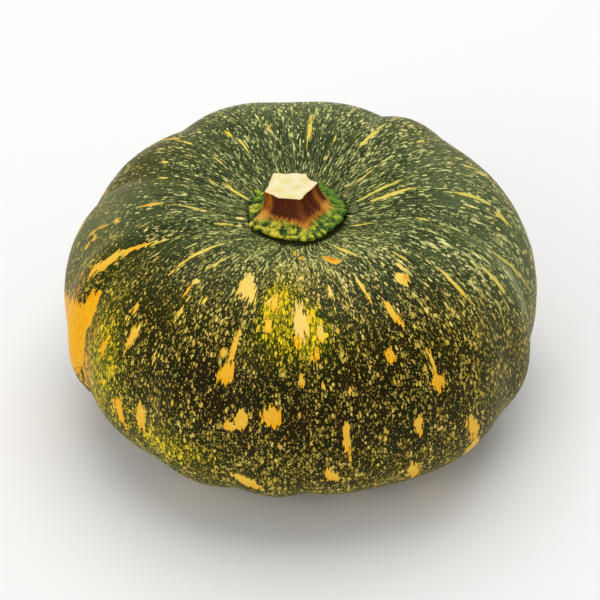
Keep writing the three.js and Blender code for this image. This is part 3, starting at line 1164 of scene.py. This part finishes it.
    def build(self) -> tuple[bpy.types.Object, Vector]:
        """Makes the fruit.

        Returns:
            The fruit, and the shift that set it over the origin.
        """
        rows, arcs = self.even_rows()
        mesh = turned_mesh("fruit_skin", *self.section(rows), self.turns)
        azimuth = read_azimuths(mesh)
        place = read_rows(mesh)
        row = np.interp(place, np.arange(len(rows)), rows)
        arc = np.interp(place, np.arange(len(rows)), arcs)
        radius, height = self.section(row)
        out, up = self.normals(row)
        ribs = self.rib_strength(row, radius) * self.rib_relief(azimuth)
        ribbed = self.grown_points(azimuth, radius + out * ribs, height + up * ribs)
        middle = (ribbed.min(axis=0) + ribbed.max(axis=0)) / 2
        relief = ribs + self.fine_relief(azimuth, arc, ribbed)
        points = self.grown_points(azimuth, radius + out * relief, height + up * relief)
        shift = Vector((-middle[0], -middle[1], 0))
        self.dress(mesh, azimuth, arc)
        scar = smooth_step(radius, *(share * self.scar_radius for share in self.scar_edge))
        add_values(mesh, "scar", np.where(row < self.foot_row, scar, 0))
        return placed_object(mesh, points + np.array(shift), RindFinish().build()), shift

    def grown_points(self, azimuth: np.ndarray, radius: np.ndarray, height: np.ndarray) -> np.ndarray:
        """Points on the fruit, whose crown drifts to the stem's side and whose foot is flat."""
        drift = np.where(height > self.equator, 1 - (radius / self.radius) ** 2, 0)
        points = about_axis(azimuth, radius, np.maximum(height, 0))
        return points + np.outer(drift, (*self.crown_drift, 0))


@dataclass(frozen=True)
class Stem:
    """The cut stem: a pleated flare, an angular column and a flat cut end."""

    fruit: Fruit
    rises: tuple[float, ...] = (1.8 * MM, 3.2 * MM, 4.4 * MM, 6.4 * MM, 9.2 * MM, 12.6 * MM, 15.3 * MM)
    flares: tuple[float, ...] = (1.0, 0.94, 0.62, 0.27, 0.09, 0.0, 0.0)
    gap: float = 0.3 * MM
    neck_height: float = 1.7 * MM
    droop: float = 0.4
    lean: tuple[float, float] = (-2.6 * MM, -1.5 * MM)
    cut_corners: tuple[tuple[float, float], ...] = (
        (14, 11.8 * MM), (30, 9.2 * MM), (55, 11.4 * MM), (131, 12.5 * MM),
        (197, 12.0 * MM), (238, 9.8 * MM), (292, 10.1 * MM),
    )
    flare_corners: tuple[tuple[float, float], ...] = (
        (0, 21.8 * MM), (58, 21.6 * MM), (143, 21.8 * MM), (213, 25.2 * MM), (288, 23.0 * MM),
    )
    # Partly painted highlight: amber along the column's corners, where their edges catch the light, over
    # their own paler colour.
    ridges: tuple[tuple[float, float], ...] = ((207, 1.0), (355, 0.8), (58, 0.6), (143, 0.6), (290, 0.3))
    ridge_span: tuple[float, float] = (13, 3)
    # Painted light: the flare's lime grows on the side that faces the front-left lamp.
    lit_side: float = 240
    lit_side_strength: float = 0.3
    flare_roundness: float = 0.4
    scallops: int = 18
    scallop_relief: float = 0.15 * MM
    pleat_relief: float = 0.75 * MM
    pleat_lift: float = 0.6
    wart_relief: float = 0.3 * MM
    fibre_relief: float = 0.22 * MM
    uneven_relief: float = 0.6 * MM
    cut_relief: float = 0.16 * MM
    turns: int = 304
    neck_rows: int = 3
    rows_in_step: int = 12
    cut_rows: int = 16

    def flare_radius(self, azimuth: np.ndarray) -> np.ndarray:
        """The flare's radius: five soft corners and a scalloped edge."""
        angular = outline_radius(self.flare_corners, azimuth)
        scallop = self.scallop_relief * np.cos(np.radians(self.scallops * azimuth))
        return lerp(angular, self.fruit.ring_radius, self.flare_roundness) + scallop

    def build(self, shift: Vector) -> bpy.types.Object:
        """Makes the stem.

        Args:
            shift: how far the fruit was moved to stand over the origin.

        Returns:
            The stem.
        """
        fruit = self.fruit
        base = fruit.seat_height + self.gap
        neck_top = base + self.neck_height
        neck_radius = fruit.seat_radius - 2 * self.gap
        steps = np.linspace(0, len(self.rises) - 1, (len(self.rises) - 1) * self.rows_in_step + 1)
        column = fruit.ring_height + curve_through(self.rises, steps)
        flare_share = np.clip(curve_through(self.flares, steps), 0, 1)
        top = column[-1]
        cut_share = np.linspace(1, 0, self.cut_rows + 1)[1:]
        heights = np.concatenate([[base, base, neck_top], column, np.full(self.cut_rows, top)])
        radii = np.concatenate([[0, neck_radius, neck_radius], np.full(len(column), fruit.ring_radius),
                                cut_share * fruit.ring_radius])
        mesh = turned_mesh("stem_stub", radii, heights, self.turns)
        azimuth = read_azimuths(mesh)
        place = read_rows(mesh).round().astype(int)
        in_neck = place < self.neck_rows
        in_cut = place >= self.neck_rows + len(column)
        share_of_row = np.concatenate([np.ones(self.neck_rows), flare_share, np.zeros(self.cut_rows)])
        inward = np.concatenate([np.ones(self.neck_rows + len(column)), cut_share])[place]
        flare = share_of_row[place]
        outline = lerp(outline_radius(self.cut_corners, azimuth), self.flare_radius(azimuth), flare)
        height = heights[place]
        lean = smooth_step(height, neck_top, top)
        round_points = about_axis(azimuth, fruit.ring_radius, height)
        pleats = swells(round_points * (1, 1, 0.35), 1.8 * MM, 4.4)
        warts = swells(round_points, 1.4 * MM, 9.1)
        fibres = swells(round_points * (1, 1, 0.15), 1.1 * MM, 2.2)
        uneven = swells(round_points * (1, 1, 0.3), 4.5 * MM, 7.7)
        relief = flare * (self.pleat_relief * pleats + self.wart_relief * warts)
        relief = relief + (1 - flare) * (self.fibre_relief * fibres + self.uneven_relief * uneven)
        height = height - self.droop * flare * np.clip(fruit.ring_radius - outline, 0, None)
        height = height + np.where(in_neck | in_cut, 0, self.pleat_lift * flare * relief)
        radius = np.where(in_neck, radii[place], (outline + relief) * inward)
        rough_cut = self.cut_relief * swells(round_points * inward[:, None], 3 * MM, 6.6)
        height = height + np.where(in_cut, rough_cut * (1 - inward**4), 0)
        points = about_axis(azimuth, radius, height) + (*fruit.crown_drift, 0)
        points = points + np.outer(lean, (*self.lean, 0))
        # Mask for the corners' colour, which is partly painted highlight.
        ridge = np.max([pale * smooth_step(np.abs(turn_to(turn, azimuth)), *self.ridge_span)
                        for turn, pale in self.ridges], axis=0)
        # Painted light: highest on the side that faces the front-left lamp.
        lamp_side_light = self.lit_side_strength * np.cos(np.radians(turn_to(self.lit_side, azimuth)))
        add_values(mesh, "skin", round_points)
        add_values(mesh, "rise", (heights[place] - column[0]) / (top - column[0]))
        add_values(mesh, "ridge", ridge)
        add_values(mesh, "lamp_side_light", lamp_side_light)
        # Pleat height, which the finish turns partly into painted highlight and shade.
        add_values(mesh, "fold", 0.5 + 0.5 * pleats + 0.25 * warts)
        add_values(mesh, "cut", in_cut.astype(float))
        return placed_object(mesh, points + np.array(shift), StalkFinish().build())


@dataclass(frozen=True)
class Studio:
    """A plain pale floor, soft light and a camera at the photograph's angle."""

    elevation: float = 40.6
    distance: float = 1.0
    focal_px: float = 2245.0
    image_px: float = 600.0
    sensor_mm: float = 36.0
    model_px: tuple[float, float] = (300.7, 304.3)
    aim_height: float = 46 * MM
    clip_start: float = 0.05
    floor_size: float = 6.0
    floor_drop: float = 0.1 * MM
    sky_strength: float = 0.5

    def camera(self) -> bpy.types.Object:
        """Places the camera, aimed so that the model's middle falls where it does in the photograph."""
        tilt = math.radians(self.elevation)
        back = Vector((0, -math.cos(tilt), math.sin(tilt)))
        up = Vector((0, math.sin(tilt), math.cos(tilt)))
        metres_per_px = self.distance / self.focal_px
        right_px = self.model_px[0] - self.image_px / 2
        down_px = self.model_px[1] - self.image_px / 2
        shift_px = down_px * up - right_px * Vector((1, 0, 0))
        target = Vector((0, 0, self.aim_height)) + metres_per_px * shift_px
        data = bpy.data.cameras.new("camera")
        data.sensor_width = self.sensor_mm
        data.lens = self.focal_px * self.sensor_mm / self.image_px
        data.clip_start = self.clip_start
        camera = bpy.data.objects.new("camera", data)
        camera.location = target + self.distance * back
        camera.rotation_euler = back.to_track_quat("Z", "Y").to_euler()
        bpy.context.scene.collection.objects.link(camera)
        bpy.context.scene.camera = camera
        return camera

    def lamp(self, name: str, place: tuple[float, float, float], size: float, watts: float) -> None:
        """Adds a square soft light that faces the fruit.

        Args:
            name: the light's name.
            place: where it is.
            size: its side.
            watts: its power.
        """
        data = bpy.data.lights.new(name, "AREA")
        data.size = size
        data.energy = watts
        lamp = bpy.data.objects.new(name, data)
        lamp.location = place
        aim = Vector(place) - Vector((0, 0, self.aim_height))
        lamp.rotation_euler = aim.to_track_quat("Z", "Y").to_euler()
        bpy.context.scene.collection.objects.link(lamp)

    def floor(self) -> bpy.types.Object:
        """Makes the floor, just under the fruit's foot."""
        bm = bmesh.new()
        bmesh.ops.create_grid(bm, x_segments=2, y_segments=2, size=self.floor_size / 2)
        bmesh.ops.translate(bm, verts=bm.verts, vec=(0, 0, -self.floor_drop))
        mesh = bpy.data.meshes.new("floor")
        bm.to_mesh(mesh)
        bm.free()
        mesh.materials.append(FloorFinish().build())
        floor = bpy.data.objects.new("floor", mesh)
        bpy.context.scene.collection.objects.link(floor)
        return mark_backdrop(floor)

    def build(self) -> None:
        """Sets up the floor, the surroundings, the lights and the camera."""
        self.floor()
        world = bpy.data.worlds.new("surroundings")
        world.use_nodes = True
        background = world.node_tree.nodes["Background"]
        background.inputs["Color"].default_value = (1, 1, 1, 1)
        background.inputs["Strength"].default_value = self.sky_strength
        bpy.context.scene.world = world
        self.lamp("overhead", (0.05, 0.35, 1.25), 1.2, 10.5)
        self.lamp("front_left", (-0.8, -1.1, 0.9), 0.8, 5)
        bpy.context.scene.view_settings.view_transform = "Standard"
        self.camera()


def main() -> None:
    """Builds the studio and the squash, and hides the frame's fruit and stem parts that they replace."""
    logging.basicConfig(level=logging.INFO, format="%(name)s: %(message)s")
    Studio().build()

    fruit = Fruit()
    skin, shift = fruit.build()
    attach(skin, "root")
    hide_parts("fruit")
    LOG.info("fruit skin: %d faces", len(skin.data.polygons))

    stub = Stem(fruit).build(shift)
    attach(stub, "root")
    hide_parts("stem")
    LOG.info("stem: %d faces", len(stub.data.polygons))


if __name__ == "__main__":
    main()
